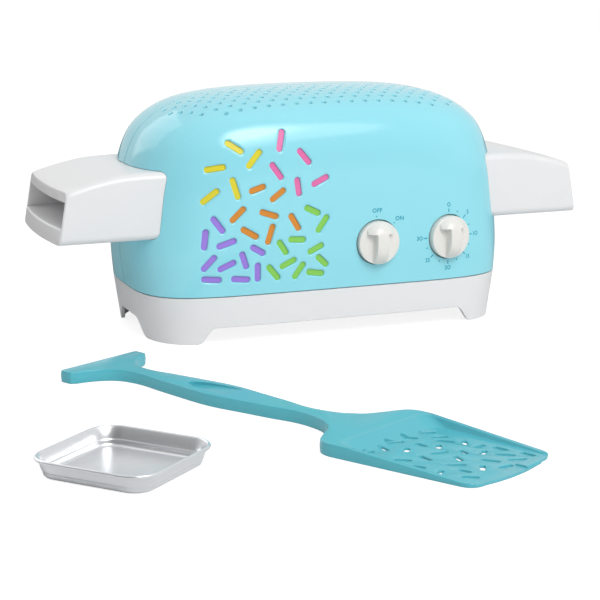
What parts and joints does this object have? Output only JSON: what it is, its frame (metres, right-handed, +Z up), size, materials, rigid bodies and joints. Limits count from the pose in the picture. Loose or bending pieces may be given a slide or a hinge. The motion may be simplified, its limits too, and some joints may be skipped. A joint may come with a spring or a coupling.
{
  "type": "toy oven",
  "caption": "Toy oven with a rounded plastic body, a chute at each end, a baking tunnel with swinging flaps, two dial knobs, a baking pan and a pan pusher tool.",
  "frame": {"origin": "middle of the bounding box of the oven with its pan and tool, on the floor under the feet", "axes": "+Z up, front of the oven towards -Y, inlet chute towards -X and outlet chute towards +X"},
  "size_m": [0.5812, 0.5932, 0.2069],
  "materials": {
    "shell": "glossy pale aqua moulding",
    "white_moulding": "glossy white moulding",
    "knob": "glossy white moulding",
    "yellow_inlay": "glossy yellow moulding",
    "pink_inlay": "glossy pink moulding",
    "orange_inlay": "glossy orange moulding",
    "green_inlay": "glossy green moulding",
    "purple_inlay": "glossy purple moulding",
    "tool": "glossy teal moulding",
    "pan": "pressed sheet, satin with fine drawing lines",
    "galvanised_sheet": "galvanised sheet",
    "bright_steel": "zinc plated",
    "heater_sheath": "oxidised sheath",
    "ceramic": "unglazed ceramic",
    "dark_moulding": "dark heat-proof moulding"
  },
  "bodies": {
    "oven": {"power_switch": "dark_moulding", "timer_unit": "galvanised_sheet", "cord_gland": "dark_moulding", "base": "white_moulding", "front_shell": "shell", "rear_shell": "shell", "yellow_inlay": "yellow_inlay", "pink_inlay": "pink_inlay", "orange_inlay": "orange_inlay", "green_inlay": "green_inlay", "purple_inlay": "purple_inlay", "outlet_chute": "white_moulding", "inlet_chute": "white_moulding", "tunnel_tray": "galvanised_sheet", "tunnel_roof": "galvanised_sheet", "left_stand": "galvanised_sheet", "right_stand": "galvanised_sheet", "inlet_flap_pin": "bright_steel", "outlet_flap_pin": "bright_steel", "heating_rod": "heater_sheath", "rod_holder_1": "ceramic", "rod_holder_2": "ceramic", "heat_shield": "bright_steel", "thermostat": "bright_steel", "thermal_fuse": "ceramic", "terminal_block": "ceramic", "shell_screw_1": "bright_steel", "shell_screw_2": "bright_steel", "shell_screw_3": "bright_steel", "shell_screw_4": "bright_steel", "base_screw_1": "bright_steel", "base_screw_2": "bright_steel", "base_screw_3": "bright_steel", "base_screw_4": "bright_steel"},
    "power_knob": {"power_shaft": "bright_steel", "power_knob": "knob"},
    "timer_knob": {"timer_shaft": "bright_steel", "timer_knob": "knob"},
    "inlet_flap": {"inlet_flap": "bright_steel"},
    "outlet_flap": {"outlet_flap": "bright_steel"},
    "pan": {"baking_pan": "pan"},
    "tool": {"pan_tool": "tool"}
  },
  "joints": [
    {"name": "power_knob_turn", "type": "hinge", "parent": "oven", "child": "power_knob", "pos_m": [0.0792, 0.11733, 0.07883], "axis": [0, 1, 0], "range_deg": [0, 45]},
    {"name": "timer_knob_turn", "type": "hinge", "parent": "oven", "child": "timer_knob", "pos_m": [0.14778, 0.11943, 0.07883], "axis": [-0.1132, 0.9936, 0], "range_deg": [0, 270]},
    {"name": "inlet_flap_swing", "type": "hinge", "parent": "oven", "child": "inlet_flap", "pos_m": [-0.07158, 0.20613, 0.1251], "axis": [0, -1, 0], "range_deg": [0, 80]},
    {"name": "outlet_flap_swing", "type": "hinge", "parent": "oven", "child": "outlet_flap", "pos_m": [0.16382, 0.20613, 0.1251], "axis": [0, -1, 0], "range_deg": [0, 80]},
    {"name": "pan_lift", "type": "slide", "parent": "oven", "child": "pan", "axis": [0, 0, 1], "range_m": [0, 0.12]},
    {"name": "tool_lift", "type": "slide", "parent": "oven", "child": "tool", "axis": [0, 0, 1], "range_m": [0, 0.12]}
  ]
}
